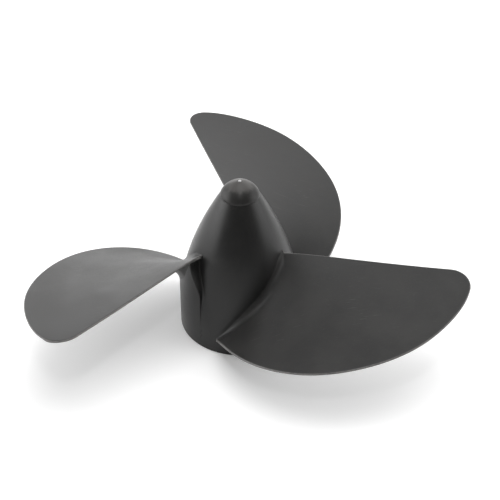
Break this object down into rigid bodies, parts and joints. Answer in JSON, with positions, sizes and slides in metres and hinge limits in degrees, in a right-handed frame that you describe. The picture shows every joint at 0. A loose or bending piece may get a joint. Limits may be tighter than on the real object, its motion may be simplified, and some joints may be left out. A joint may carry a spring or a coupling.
{
  "type": "boat propeller",
  "caption": "Weed-shedding boat propeller with wide swept blades on a pointed hollow hub, a rubber-cushioned bronze drive core and a push-in end cap.",
  "frame": {"origin": "centre of the thrust washer's bore, in the plane of the hub's open base", "axes": "+Z along the shaft's axis, from the motor's side to the hub's point, which faces astern; the camera side of the reference view is -Y"},
  "size_m": [0.2633, 0.2422, 0.1063],
  "materials": {
    "composite": "satin, fine moulded texture",
    "cap_plastic": "satin",
    "seal_rubber": "smooth",
    "bush_rubber": "matt",
    "sleeve_aluminium": "turned",
    "spring_steel": "phosphated",
    "bronze": "turned",
    "stainless": "bright",
    "locking_nylon": "smooth"
  },
  "bodies": {
    "motor_side": {"thrust_washer": "bronze"},
    "drive_core": {"drive_hub": "bronze", "rear_washer": "stainless", "spring_washer": "stainless", "prop_nut": "stainless", "nut_locking_ring": "locking_nylon"},
    "propeller": {"hub_shell": "composite", "blade_1": "composite", "blade_2": "composite", "blade_3": "composite", "bush_sleeve": "sleeve_aluminium", "bush_rubber": "bush_rubber", "bush_circlip": "spring_steel"},
    "end_cap": {"end_cap": "cap_plastic", "end_cap_seal": "seal_rubber"}
  },
  "joints": [
    {"name": "propeller_spin", "type": "hinge", "parent": "motor_side", "child": "drive_core", "pos_m": [0, 0, 0], "axis": [0, 0, 1], "continuous": true},
    {"name": "cushion_twist", "type": "hinge", "parent": "drive_core", "child": "propeller", "pos_m": [0, 0, 0], "axis": [0, 0, 1], "range_deg": [-8, 8], "stiffness_Nm_per_rad": 60},
    {"name": "end_cap_pull", "type": "slide", "parent": "propeller", "child": "end_cap", "axis": [0, 0, 1], "range_m": [0, 0.03]}
  ]
}
